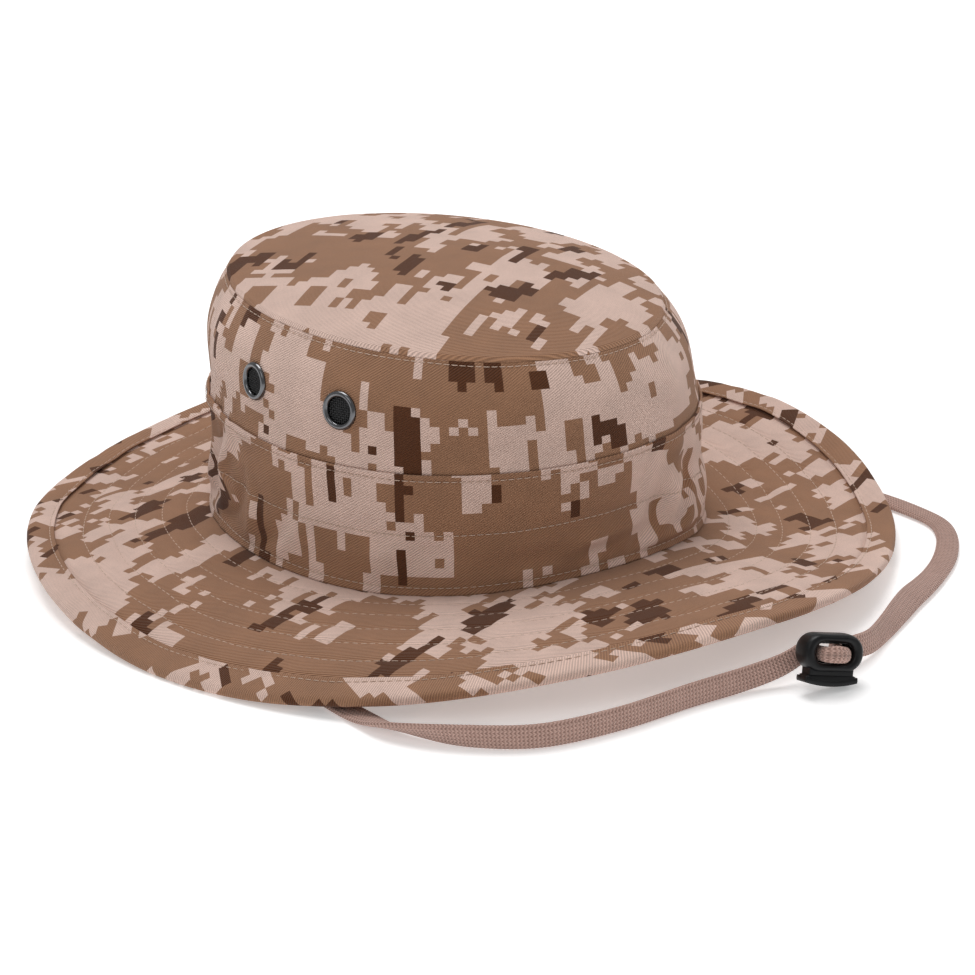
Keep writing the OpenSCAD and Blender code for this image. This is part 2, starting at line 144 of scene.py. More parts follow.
# ---------------------------------------------------------------- materials
class Nodes:
    """A material being wired up: each call adds a node and returns its first output."""

    def __init__(self, name):
        self.mat = bpy.data.materials.new(name)
        self.mat.use_nodes = True
        self.tree = self.mat.node_tree
        self.shader = self.tree.nodes["Principled BSDF"]

    def add(self, kind, values=(), out=0, **settings):
        node = self.tree.nodes.new("ShaderNode" + kind)
        for key, value in settings.items():
            setattr(node, key, value)
        for key, value in dict(values).items():
            if isinstance(value, bpy.types.NodeSocket):
                self.tree.links.new(value, node.inputs[key])
            else:
                node.inputs[key].default_value = value
        return node.outputs[out]

    def uv(self):
        return self.add("UVMap", uv_map="cloth")

    def math(self, operation, a, b=0.0, c=0.0):
        return self.add("Math", {0: a, 1: b, 2: c}, operation=operation)

    def vector(self, operation, a, b):
        return self.add("VectorMath", {0: a, 1: b}, operation=operation)

    def noise(self, where, scale, detail=2.0, rough=0.5):
        return self.add("TexNoise", {"Vector": where, "Scale": scale, "Detail": detail, "Roughness": rough})

    def mix(self, amount, a, b):
        return self.add("Mix", {0: amount, 6: a, 7: b}, out=2, data_type="RGBA")

    def ramp(self, value, lo, hi, a=0.0, b=1.0):
        return self.add("MapRange", {0: value, 1: lo, 2: hi, 3: a, 4: b})

    def bump(self, height, depth, strength=1.0, below=None):
        values = {"Height": height, "Distance": depth, "Strength": strength}
        if below is not None:
            values["Normal"] = below
        return self.add("Bump", values)

    def set(self, **values):
        for key, value in values.items():
            socket = self.shader.inputs[key.replace("_", " ")]
            if isinstance(value, bpy.types.NodeSocket):
                self.tree.links.new(value, socket)
            else:
                socket.default_value = value
        return self.mat


def tone(r, g, b):
    """A colour given as it looks on a screen, 0 to 255."""
    return tuple(((c / 255 + 0.055) / 1.055) ** 2.4 for c in (r, g, b)) + (1,)


def twill(m, where, pitch):
    """Height of the diagonal ribs of a twill, and of the yarns crossing them."""
    x = m.add("SeparateXYZ", {0: where}, out=0)
    y = m.add("SeparateXYZ", {0: where}, out=1)
    across = m.math("SUBTRACT", m.math("MULTIPLY", x, 0.54), m.math("MULTIPLY", y, 0.84))
    ribs = m.math("SINE", m.math("MULTIPLY", across, 2 * math.pi / pitch))
    yarns = m.math("SINE", m.math("MULTIPLY", x, 2 * math.pi / (pitch * 0.62)))
    fuzz = m.noise(m.vector("MULTIPLY", where, (1600, 1600, 1600)), 1.0, 2.0)
    ribs = m.math("MULTIPLY_ADD", yarns, 0.25, ribs)
    return m.math("MULTIPLY_ADD", fuzz, 1.3, ribs)


CELL = 0.0036  # one block of the print
TWILL_PITCH = 0.00088
BRAID_PITCH, BRAID_COLUMN = 0.0014, 0.00156
LIGHT, BROWN, DARK = tone(226, 195, 181), tone(160, 118, 90), tone(88, 48, 20)


def camouflage():
    """Blocks of brown and dark brown on a light twill: noise read once for each block of the print."""
    m = Nodes("camouflage_twill")
    where = m.uv()
    fine = m.vector("ADD", m.vector("SNAP", where, (CELL, CELL, 1)), (CELL / 2, CELL / 2, 0))
    tall = m.vector("SNAP", where, (CELL, CELL * 2, 1))
    blob = m.noise(m.vector("MULTIPLY", fine, (27, 19, 1)), 1.0, 1.0, 0.4)
    body = m.noise(m.vector("MULTIPLY", fine, (95, 44, 1)), 1.0, 1.5, 0.55)
    fray = m.noise(m.vector("MULTIPLY", tall, (170, 85, 1)), 1.0, 0.0)
    field = m.math("MULTIPLY_ADD", body, 0.66, m.math("MULTIPLY", blob, 0.75))
    field = m.math("MULTIPLY_ADD", fray, 0.34, field)
    brown = m.math("GREATER_THAN", field, 0.85)
    spot = m.noise(m.vector("MULTIPLY", m.vector("ADD", fine, (3.7, 1.9, 0)), (62, 30, 1)), 1.0, 1.2, 0.5)
    spot = m.math("MULTIPLY_ADD", fray, -0.1, spot)
    dark = m.math("GREATER_THAN", m.math("MULTIPLY_ADD", brown, 0.03, spot), 0.605)
    colour = m.mix(dark, m.mix(brown, LIGHT, BROWN), DARK)
    ribs = twill(m, where, TWILL_PITCH)
    wear = m.noise(m.vector("MULTIPLY", where, (60, 60, 1)), 1.0, 4.0, 0.6)
    shade = m.math("MULTIPLY_ADD", ribs, 0.2, m.ramp(wear, 0.3, 0.7, 0.76, 0.92))
    grey = m.add("CombineColor", {0: shade, 1: shade, 2: shade})
    colour = m.add("Mix", {0: 1.0, 6: colour, 7: grey}, out=2, data_type="RGBA", blend_type="MULTIPLY")
    bump = m.bump(ribs, 0.00012, 1.0)
    return m.set(Base_Color=colour, Roughness=m.ramp(wear, 0.3, 0.7, 0.78, 0.92), Normal=bump,
                 Sheen_Weight=0.12, Sheen_Roughness=0.5, Specular_IOR_Level=0.25)


def plain_cloth(name, colour, second, pitch=0.0008, depth=0.0001, rough=0.88, weave=True):
    """A cloth mottled between two colours, woven as a twill or else a felt of fine fibres, with painted shade
    that follows the height of its ribs or fibres.
    """
    m = Nodes(name)
    where = m.uv()
    wear = m.noise(m.vector("MULTIPLY", where, (90, 90, 1)), 1.0, 4.0, 0.6)
    if weave:
        ribs = twill(m, where, pitch)
    else:
        ribs = m.noise(m.vector("MULTIPLY", where, (1 / pitch, 1 / pitch, 1)), 1.0, 3.0, 0.7)
    # Partly painted shade: the colour is lighter where the ribs or fibres stand high and darker in the grooves
    # between them; the wear noise gives random tone.
    amount = m.math("MULTIPLY_ADD", ribs, 0.12, m.ramp(wear, 0.3, 0.7, 0.0, 0.8))
    return m.set(Base_Color=m.mix(amount, colour, second), Roughness=rough, Sheen_Weight=0.15,
                 Normal=m.bump(ribs, depth, 0.8), Specular_IOR_Level=0.25)


def braided():
    m = Nodes("braid")
    where = m.uv()
    x = m.add("SeparateXYZ", {0: where}, out=0)
    y = m.add("SeparateXYZ", {0: where}, out=1)
    column = m.math("PINGPONG", y, BRAID_COLUMN / 2)
    slant = m.math("MULTIPLY", m.math("ADD", column, x), 2 * math.pi / BRAID_PITCH)
    chevron = m.math("SINE", slant)
    rows = m.math("COSINE", m.math("MULTIPLY", y, 2 * math.pi / BRAID_COLUMN))
    fuzz = m.noise(m.vector("MULTIPLY", where, (2600, 2600, 1)), 1.0, 2.0)
    height = m.math("MULTIPLY_ADD", rows, 0.45, chevron)
    height = m.math("MULTIPLY_ADD", fuzz, 0.8, height)
    wear = m.noise(m.vector("MULTIPLY", where, (160, 160, 1)), 1.0, 3.0)
    # Painted shade: the colour turns darker where the braid's height is low, in the gaps between its yarns; the
    # wear noise adds random tone.
    amount = m.math("MULTIPLY_ADD", wear, 0.3, m.ramp(height, -1.1, 1.2, 0.0, 0.8))
    colour = m.mix(amount, tone(128, 93, 80), tone(208, 171, 158))
    return m.set(Base_Color=colour, Roughness=0.72, Normal=m.bump(height, 0.0002, 0.9), Sheen_Weight=0.2,
                 Specular_IOR_Level=0.3)


def thread_material():
    m = Nodes("thread")
    where = m.uv()
    twist = m.math("SINE", m.math("MULTIPLY", m.add("SeparateXYZ", {0: where}, out=0), 9000.0))
    wear = m.noise(m.vector("MULTIPLY", where, (900, 900, 1)), 1.0, 2.0)
    # Painted shade: the colour follows the twist of the thread, darker in the grooves between its turns; the
    # wear noise gives random tone.
    colour = m.mix(m.math("MULTIPLY_ADD", twist, 0.12, wear), tone(176, 146, 126), tone(224, 198, 180))
    return m.set(Base_Color=colour, Roughness=0.6, Normal=m.bump(twist, 0.00004, 0.7), Sheen_Weight=0.1)


def hard(name, colour, second, rough, metal=0.0, scale=900.0, specular=0.5):
    """Metal or plastic with a fine grain, mottled between two colours."""
    m = Nodes(name)
    where = m.uv()
    grain = m.noise(m.vector("MULTIPLY", where, (scale, scale, scale)), 1.0, 3.0, 0.6)
    wear = m.noise(m.vector("MULTIPLY", where, (120, 120, 120)), 1.0, 4.0, 0.6)
    return m.set(Base_Color=m.mix(m.ramp(wear, 0.35, 0.7), colour, second), Metallic=metal,
                 Roughness=m.ramp(wear, 0.3, 0.7, rough * 0.85, rough * 1.25),
                 Normal=m.bump(grain, 0.00002, 0.6), Specular_IOR_Level=specular)


def neutral(level, blue):
    return (level, level, level + blue, 1)


MATERIALS = {
    "camouflage_twill": camouflage(),
    "lining_twill": plain_cloth("lining_twill", tone(176, 150, 128), tone(200, 176, 154)),
    "webbing": plain_cloth("webbing", tone(168, 138, 112), tone(190, 160, 132), 0.0014, 0.0002),
    "loop_fabric": plain_cloth("loop_fabric", tone(150, 122, 98), tone(186, 160, 134),
                               pitch=0.0007, depth=0.0004, rough=0.95, weave=False),
    "hook_fabric": plain_cloth("hook_fabric", tone(120, 94, 72), tone(160, 132, 106),
                               pitch=0.0005, depth=0.0003, rough=0.6, weave=False),
    "seam_tape": plain_cloth("seam_tape", tone(178, 152, 130), tone(204, 180, 158), 0.0006),
    "stiffening_cloth": plain_cloth("stiffening_cloth", tone(225, 220, 208), tone(240, 236, 226), 0.0006),
    "thread": thread_material(),
    "gunmetal": hard("gunmetal", neutral(0.12, 0.005), neutral(0.22, 0.01), 0.17, metal=1.0),
    "black_mesh": hard("black_mesh", neutral(0.022, 0.001), neutral(0.04, 0.002), 0.36),
    "braid": braided(),
    "black_plastic": hard("black_plastic", neutral(0.003, 0.0005), neutral(0.006, 0.001), 0.34,
                          scale=2200.0, specular=0.28),
    "spring_steel": hard("spring_steel", (0.5, 0.5, 0.5, 1), (0.62, 0.61, 0.6, 1), 0.3, metal=1.0),
}
MATERIALS["binding_twill"] = MATERIALS["camouflage_twill"]


# ---------------------------------------------------------------- building meshes
def piece(name, points, faces, uvs, slot, body="hat", nodes=()):
    """A mesh from points in millimetres; uvs has a pair, in metres of cloth, for each corner of each face."""
    points = np.asarray(points, float) * MM
    faces = [list(map(int, f)) for f in faces]
    corner = np.array([i for f in faces for i in f])
    start = np.cumsum([0] + [len(f) for f in faces[:-1]])
    tri = np.array([[f[0], f[1], f[2]] for f in faces])
    rest = np.array([[f[0], f[2], f[3]] for f in faces if len(f) > 3] or [[0, 0, 0]])
    tri = np.vstack([tri, rest])
    p, q, r = points[tri[:, 0]], points[tri[:, 1]], points[tri[:, 2]]
    if (p * np.cross(q, r)).sum() < 0:
        faces = [f[::-1] for f in faces]
        ends = np.append(start[1:], len(corner))
        order = np.concatenate([np.arange(e - 1, s - 1, -1) for s, e in zip(start, ends)])
        uvs = np.asarray(uvs)[order]
    mesh = bpy.data.meshes.new(name)
    mesh.from_pydata(points.tolist(), [], faces)
    layer = mesh.uv_layers.new(name="cloth")
    layer.data.foreach_set("uv", np.asarray(uvs, np.float32).ravel())
    mesh.materials.append(MATERIALS[slot])
    mesh.shade_smooth()
    o = bpy.data.objects.new(name, mesh)
    bpy.context.scene.collection.objects.link(o)
    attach(o, body)
    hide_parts(*nodes)
    return o


def grid(m, n, around, closed):
    """Faces of a grid of m by n points, and each corner's place in a grid of (m + 1) by (n + 1) uv values."""
    i, j = np.meshgrid(np.arange(m if closed else m - 1), np.arange(n if around else n - 1), indexing="ij")
    i, j = i.ravel(), j.ravel()
    corners = [(i, j), (i, j + 1), (i + 1, j + 1), (i + 1, j)]
    faces = np.stack([(a % m) * n + b % n for a, b in corners], 1)
    places = np.stack([a * (n + 1) + b for a, b in corners], 1)
    return faces, places


def surface(rings, uv, around=True, closed=True, keep=None):
    """Points, faces and corner uvs of a grid; where it closes, uv has one row or column more than the points."""
    rings = np.asarray(rings)
    m, n = rings.shape[:2]
    faces, places = grid(m, n, around, closed)
    wide = np.zeros((m + 1, n + 1, 2))
    wide[:uv.shape[0], :uv.shape[1]] = uv
    if keep is not None:
        stay = keep(rings.reshape(-1, 3)[faces].mean(1))
        faces, places = faces[stay], places[stay]
    return rings.reshape(-1, 3), faces, wide.reshape(-1, 2)[places.ravel()]


def cap(part, m, n, axes, across=False, shift=(0, 0)):
    """A grid of m rings of n points with its end rings filled, or across, with the ends of its rows filled."""
    points, faces, uvs = part
    if across:
        ends = [[i * n for i in range(m)][::-1], [i * n + n - 1 for i in range(m)]]
    else:
        ends = [list(range(n))[::-1], list(range((m - 1) * n, m * n))]
    flat = [points[e][:, axes] * MM + shift for e in ends]
    return points, list(faces) + ends, np.vstack([uvs] + flat)


def join(*parts):
    """Several (points, faces, uvs) as one."""
    points, faces, uvs, base = [], [], [], 0
    for p, f, u in parts:
        points.append(p)
        faces.extend([[int(i) + base for i in face] for face in f])
        uvs.append(np.asarray(u).reshape(-1, 2))
        base += len(p)
    return np.vstack(points), faces, np.vstack(uvs)


def random_at(ix, iy, iz, seed):
    """A fixed value from -1 to 1 for each point of a whole-number grid."""
    h = (ix * 73856093) ^ (iy * 19349663) ^ (iz * 83492791) ^ (seed * 2654435)
    h = (h ^ (h >> 13)) * 1274126177 & 0xFFFFFFFF
    h = (h ^ (h >> 16)) * 668265263 & 0xFFFFFFFF
    return (h ^ (h >> 15)) % 65536 / 32768.0 - 1.0


def rough_field(p, size, seed):
    """Smooth noise from -1 to 1 over points p, with features about as wide as size."""
    q = np.asarray(p) / size
    cell = np.floor(q).astype(np.int64)
    f = q - cell
    f = f * f * (3 - 2 * f)
    out = 0
    for dx in (0, 1):
        for dy in (0, 1):
            for dz in (0, 1):
                w = ((f[..., 0] if dx else 1 - f[..., 0]) * (f[..., 1] if dy else 1 - f[..., 1])
                     * (f[..., 2] if dz else 1 - f[..., 2]))
                out = out + w * random_at(cell[..., 0] + dx, cell[..., 1] + dy, cell[..., 2] + dz, seed)
    return out


# ---------------------------------------------------------------- the hat's surfaces: millimetres, degrees
HEAD_X, HEAD_Y, BAND_X, BAND_Y, TOP_X, TOP_Y = 86.5, 103.7, 85.5, 105.0, 73.0, 92.5
BAND_H, WALL_H, DOME_H, BELLY, LEAN_X = 47.0, 41.0, 11.0, 4.0, 0.8
BRIM_W, BRIM_RISE, BIND_W, ROWS, PITCH = 73.0, 6.3, 10.0, 5, 10.3
TWILL, GAP = 0.7, 0.05
LIFT = 8.43
BRIM_T = 2.5
CENTRE = np.array([0.578, -0.2, 0.0])
SEAM_WAVE = [(2, 3.2, 55), (3, 3, 32)]
EDGE_WAVE = [(1, 3.6, -50), (2, 2.4, 71), (3, 3.7, 12), (4, 2.8, -19), (5, 1.4, -10)]
BOW_WAVE = [(1, 2.7, -162), (2, 1.7, 32)]
TOP_WAVE = [(1, 4.8, 127)]
VENTS = (169.5, 195.4, 344.6, 10.5)
VENT_V, VENT_HOLE = 1.48, 6.2


def wave(terms, a):
    """A sum of waves round the hat; a term is its count, height and the angle of its peak."""
    return sum(h * cosd(n * (a - c)) for n, h, c in terms)


def mix(p, q, t):
    return p + (q - p) * t


def outward(a):
    """The crown's level normal at the angle a."""
    return unit(np.stack([cosd(a) / HEAD_X, sind(a) / HEAD_Y, 0 * np.asarray(a, float)], -1))


def root_z(a):
    return LIFT + BRIM_RISE + wave(SEAM_WAVE, a)


def edge_z(a):
    return LIFT + wave(EDGE_WAVE, a)


def plan_w(a):
    """The brim's width seen from above."""
    return np.sqrt(BRIM_W ** 2 - (root_z(a) - edge_z(a)) ** 2)


def brim(a, u, h):
    """The brim at the angle a and plan distance u from its root, h over its lower face, with its waves."""
    a, u, h = np.broadcast_arrays(np.asarray(a, float), u, h)
    t = np.maximum(0, u) / plan_w(a)
    bow = -0.8 + wave(BOW_WAVE, a)
    p = np.stack([HEAD_X * cosd(a), HEAD_Y * sind(a),
                  mix(root_z(a), edge_z(a), t) + 4 * bow * t * (1 - t)], -1)
    p = p + outward(a) * u[..., None] - CENTRE
    flat = p * (1, 1, 0)
    soft = np.clip(u / 18, 0, 1) * np.clip((1.12 - t) * 4, 0.25, 1)
    ripple = 0.75 * rough_field(flat, 34, 11) + 0.35 * rough_field(flat, 15, 12)
    p[..., 2] += h + ripple * soft
    return p


def smooth(x, lo, hi):
    """0 up to lo, 1 from hi, and an easy step between."""
    t = np.clip((x - lo) / (hi - lo), 0, 1)
    return t * t * (3 - 2 * t)


# Soft folds in the crown: angle, v, tilt of its ridge from level, length, width and height in mm.
MM_PER_DEGREE = 1.66  # round the crown
FOLDS = [
    (130, 0.68, 0, 95, 30, -3.2), (140, 0.62, 80, 34, 5, 1.5), (148, 0.6, 70, 30, 4, -1.6),
    (128, 0.4, 60, 26, 6, 1.4), (156, 0.75, 62, 26, 4, 1.2), (134, 0.25, 35, 24, 5, 1.5),
    (120, 0.5, 76, 30, 6, -1.4), (306, 0.54, 2, 52, 6, -1.2), (310, 0.3, 8, 30, 7, 0.8),
    (268, 0.66, 60, 30, 6, -0.8), (283, 0.12, 14, 40, 4, 1.0), (250, 0.42, -4, 40, 8, -0.8),
    (235, 0.22, 2, 44, 5, -0.9), (190, 0.66, 20, 26, 6, -0.6), (152, 0.45, 70, 26, 6, 1.8),
    (160, 0.28, 52, 22, 5, -1.6), (168, 0.3, 78, 20, 4.5, 1.4), (176, 0.24, 40, 18, 4, -1.0),
    (184, 0.36, 64, 22, 5, 0.9), (146, 0.22, 30, 20, 5, -1.3), (205, 0.3, 15, 26, 6, 0.7),
    (222, 0.4, 8, 30, 7, -0.6), (262, 0.3, 4, 46, 5, 1.2), (256, 0.2, 8, 44, 4.5, -1.1),
    (271, 0.34, 58, 24, 5, -1.6), (278, 0.42, 66, 30, 6, 2.1), (285, 0.22, 40, 26, 5, 1.8),
    (287, 0.5, 75, 24, 5, -1.7), (294, 0.32, 62, 30, 5, 1.4), (301, 0.45, 80, 26, 6, -1.0),
    (325, 0.3, 62, 30, 6, 1.2), (334, 0.45, 80, 26, 6, -1.1), (30, 0.35, 60, 26, 6, 1.2),
    (100, 0.4, 66, 28, 7, 1.1), (125, 0.3, 50, 24, 6, -1.0), (250, 0.26, 28, 24, 5, 0.8),
    (240, 1.5, 62, 30, 9, -0.5), (285, 1.45, 80, 34, 9, 0.8), (310, 1.4, 70, 30, 8, -0.9),
    (150, 1.5, 84, 30, 9, 0.7), (215, 1.4, 85, 26, 8, 0.5), (60, 1.5, 80, 30, 9, -0.7),
]


def folds(a, v):
    """How far the soft folds push the crown's side outwards."""
    out = 0
    for angle, height, tilt, length, width, rise in FOLDS:
        x = ((a - angle + 180) % 360 - 180) * MM_PER_DEGREE
        y = (v - height) * BAND_H
        c, s = math.cos(math.radians(tilt)), math.sin(math.radians(tilt))
        along, across = x * c + y * s, y * c - x * s
        across = across - along ** 2 / length / 3
        out = out + rise * np.exp(-(along / length * 1.6) ** 2 - (across / width * 1.2) ** 2)
    return 1.4 * out * smooth(v, 0.02, 0.16) * (1 - 0.6 * np.exp(-((v - 0.955) / 0.05) ** 2))


def crown(a, v, d):
    """The crown's side at the angle a and height v (0 base, 1 band seam, 2 top), d out from its outline."""
    a, v, d = np.broadcast_arrays(np.asarray(a, float), np.asarray(v, float), np.asarray(d, float))
    t = np.clip(v - 1, 0, 1)
    belly = BELLY * np.sin(np.pi * t ** 1.4)
    low = np.clip(v, -0.2, 1)
    x = np.where(v <= 1, mix(HEAD_X, BAND_X, low), mix(BAND_X, TOP_X, v - 1) + belly)
    y = np.where(v <= 1, mix(HEAD_Y, BAND_Y, low), mix(BAND_Y, TOP_Y, v - 1) + belly)
    seat = root_z(a) + BRIM_T + 0.25
    band = LIFT + BRIM_RISE + BRIM_T + BAND_H + 0.3 * wave(SEAM_WAVE, a)
    top = LIFT + BRIM_RISE + BRIM_T + BAND_H + WALL_H + wave(TOP_WAVE, a)
    z = np.where(v <= 1, mix(seat, band, v), mix(band, top, v - 1))
    p = np.stack([x * cosd(a) + LEAN_X * v / 2, y * sind(a), z], -1) - CENTRE
    calm = smooth(v, 0.0, 0.15) * (1 - 0.5 * smooth(v, 1.85, 2.0))
    crease = 0.55 * rough_field(p, 24, 5) + 0.25 * rough_field(p * (1, 1, 0.6), 9, 6)
    crease = crease * np.where(v < 1, 1.0, 0.7) * calm
    return p + outward(a) * (d + crease + folds(a, v))[..., None]


def panel(a, r, h):
    """The top panel at the angle a, r from 0 in the middle to 1 at its seam."""
    a, r, h = np.broadcast_arrays(np.asarray(a, float), np.asarray(r, float), np.asarray(h, float))
    level = LIFT + BRIM_RISE + BRIM_T + BAND_H + WALL_H

    def top(b):
        return level + wave(TOP_WAVE, b)

    p = np.stack([TOP_X * cosd(a) * r + LEAN_X, TOP_Y * sind(a) * r,
                  mix(top(0) + top(90), top(a) * 2, r ** 2) / 2 + DOME_H * (1 - r ** 2.2)], -1) - CENTRE
    seam = np.stack([TOP_X * cosd(a) + LEAN_X, TOP_Y * sind(a), top(a)], -1)
    edge = crown(a, 2.0, 0.0) - seam + CENTRE
    p = p + edge * (r ** 5)[..., None] * (1, 1, 0)
    flat = p * (1, 1, 0)
    soft = 0.9 * rough_field(flat, 42, 21) + 0.4 * rough_field(flat, 17, 22) + 0.12 * rough_field(flat, 7, 23)
    p[..., 2] += h + soft * (1 - r ** 3)
    return p


# ---------------------------------------------------------------- cloth pieces
STATIONS = 720
TURN = 90 + np.arange(STATIONS) * 360 / STATIONS
TURN_UV = 90 + np.arange(STATIONS + 1) * 360 / STATIONS


def arc(a):
    """Distance round the crown, in metres of cloth, from the back seam."""
    b = np.linspace(90, 450, 721)
    p = np.stack([BAND_X * cosd(b), BAND_Y * sind(b)], -1)
    s = np.append(0, np.cumsum(np.linalg.norm(np.diff(p, axis=0), axis=1))) * MM
    return np.interp(a, b, s)


# Where folds drag the print along: angle, reach in degrees, metres, waves in the height of the band.
DRAG = [(146, 15, 0.0055, 2.1), (281, 9, 0.0042, 1.7), (40, 14, 0.003, 1.5)]


def side_uv(v, shift):
    """Uv values for rings at the heights v of the crown's side."""
    v = np.append(v, v[-1] - 0.01)
    u, w = np.meshgrid(arc(TURN_UV), v * BAND_H * MM)
    for angle, reach, size, waves in DRAG:
        off = TURN_UV - angle
        pull = np.exp(-(off / reach) ** 2) * (smooth(v, 0.02, 0.15) * (1 - smooth(v, 0.85, 1.0)))[:, None]
        u = u + size * pull * np.sin(2 * math.pi * (v[:, None] * waves + off / reach / 3))
        w = w + 0.5 * size * pull * np.sin(2 * math.pi * (v[:, None] * waves * 0.7 - off / reach / 2.2))
    return np.stack([u + shift[0], w + shift[1]], -1)


def flat_uv(points, angle, shift):
    """Uv values for cloth cut flat: the plan of the points, turned by an angle."""
    x, y = points[..., 0] * MM, points[..., 1] * MM
    c, s = math.cos(math.radians(angle)), math.sin(math.radians(angle))
    uv = np.stack([x * c + y * s + shift[0], y * c - x * s + shift[1]], -1)
    uv = np.concatenate([uv, uv[:1]], 0)
    return np.concatenate([uv, uv[:, :1]], 1)


def puckers(a, v, row, reach, depth):
    """The pinch and the little ripples that a row of stitches makes in cloth."""
    near = np.exp(-((v - row) * BAND_H / reach) ** 2)
    line = np.exp(-((v - row) * BAND_H / 0.7) ** 2)
    p = np.stack([a * MM_PER_DEGREE, v * 12, 0 * a], -1)
    return near * depth * rough_field(p, 3.4, 31) - 0.28 * line


def side_shell(v, outer, inner):
    """Rings of a crown piece from outside over its top to inside."""
    out = [crown(TURN, s, outer(TURN, np.full_like(TURN, s))) for s in v]
    top = crown(TURN, v[-1] + 0.008, (outer(TURN, np.full_like(TURN, v[-1])) + inner) / 2)
    back = v[::-6]
    rings = np.array(out + [top] + [crown(TURN, s, inner) for s in back])
    return rings, np.concatenate([v, [v[-1] + 0.008], back])


def make_wall():
    def face(a, v):
        d = puckers(a, v, 1.955, 4.0, 0.22)
        under = smooth(v, 0.98, 1.06)
        return d - 0.25 * (1 - under) - 0.9 * smooth(v, 1.975, 2.0)

    v = np.concatenate([np.linspace(0.9, 1.9, 46), np.linspace(1.915, 2.004, 12)])
    rings, vs = side_shell(v, face, -TWILL)
    centres = np.array([vent_frame(a)[0] for a in VENTS])
    normals = np.array([vent_frame(a)[1][:, 2] for a in VENTS])

    def keep(p):
        off = p[:, None] - centres
        off = off - (off * normals).sum(-1)[..., None] * normals
        near = np.linalg.norm(p[:, None] - centres, axis=-1) < 12
        close = near & (np.linalg.norm(off, axis=-1) < VENT_HOLE)
        return ~close.any(1)

    piece("crown_wall_cloth", *surface(rings, side_uv(vs, (0.31, 0.22)), keep=keep), "camouflage_twill",
          nodes=["crown_wall"])


def vent_frame(a):
    """The middle of a vent on the wall, and axes whose third points out of the wall."""
    place = crown(a, VENT_V, 0.0)
    up = unit(crown(a, VENT_V + 0.12, 0.0) - crown(a, VENT_V - 0.12, 0.0))
    side = unit(crown(a + 4, VENT_V, 0.0) - crown(a - 4, VENT_V, 0.0))
    out = unit(np.cross(side, up))
    return place, np.stack([side, np.cross(out, side), out], -1)


def make_band():
    def face(a, v):
        d = np.full_like(a, GAP + TWILL + 0.15)
        d = d + puckers(a, v, 0.06, 5.0, 0.3) + puckers(a, v, 0.955, 3.5, 0.2)
        d = d - 0.3 * np.exp(-((v - 0.5) * BAND_H / 0.8) ** 2)
        d = d + 0.2 * np.exp(-((v - 1.0) * BAND_H / 0.6) ** 2)
        return d + 0.5 * (1 - smooth(v, 0.0, 0.05))

    v = np.concatenate([np.linspace(0.0, 0.1, 11), np.linspace(0.118, 0.9, 44), np.linspace(0.915, 1.0, 12)])
    rings, vs = side_shell(v, face, GAP)
    cloth = surface(rings, side_uv(vs, (1.17, 0.9)))
    piece("crown_band_cloth", *cloth, "camouflage_twill", nodes=["crown_band"])


def make_panel():
    r = np.concatenate([np.linspace(0.004, 0.94, 84), np.linspace(0.95, 1.0, 8)])

    def lift(s):
        edge = 0.25 * np.exp(-((s - 0.985) / 0.01) ** 2)
        return GAP + TWILL + edge - 1.1 * smooth(s, 0.991, 1.002)

    upper = [panel(TURN, s, lift(s)) for s in r]
    rim = panel(TURN, 1.004, -0.3)
    lower = [panel(TURN, s, min(GAP, lift(s) - 0.7)) for s in r[::-8]]
    rings = np.array(upper + [rim] + lower)
    shift = (0.55, 0.4)
    cloth = surface(rings, flat_uv(rings, -70, shift), closed=False)
    cloth = cap(cloth, len(rings), STATIONS, [0, 1], shift=shift)
    piece("crown_top_cloth", *cloth, "camouflage_twill", nodes=["crown_top"])


def quilt(a, u, side):
    """Puffs between the brim's rows of stitches, and the puckers along them. side is 1 above and -1 below."""
    s = u * BRIM_W / plan_w(a) / PITCH
    near = np.abs(s - np.round(s)) * PITCH
    puff = np.where(s > ROWS + 0.5, 1, np.clip(near / 2.6, 0, 1) ** 0.7)
    p = np.stack([a * 2.2, np.round(s) * 40 + s * 0.4, 0 * a + side * 9], -1)
    ripple = rough_field(p, 5.5, 41) * np.exp(-(near / 3.2) ** 2)
    return side * (0.55 * puff - 0.3 + 0.3 * ripple)


def brim_sheet(name, low, high, slot, node, upper, shift, angle=0.0):
    """One cloth of the brim between two heights. upper is 1 or -1 if its upper or lower face is quilted."""
    u01 = np.concatenate([[-0.036], np.linspace(0, 0.92, 74), [0.95, 0.985]])
    width = plan_w(TURN)
    outer, inner = [], []
    for s in u01:
        u = s * width
        face = quilt(TURN, np.maximum(u, 0), 1 if upper >= 0 else -1) * (upper != 0) * smooth(s, 0.0, 0.02)
        face = face * (1 - smooth(s, 0.8, 0.86))
        if upper > 0:
            face = face - 0.45 * np.exp(-((s - 0.855) / 0.014) ** 2)
        outer.append(brim(TURN, u, (high if upper >= 0 else low) + face))
    for s in u01[::-4]:
        inner.append(brim(TURN, s * width, (low if upper >= 0 else high)))
    rings = np.array(outer + inner)
    piece(name, *surface(rings, flat_uv(rings, angle, shift)), slot, nodes=[node])


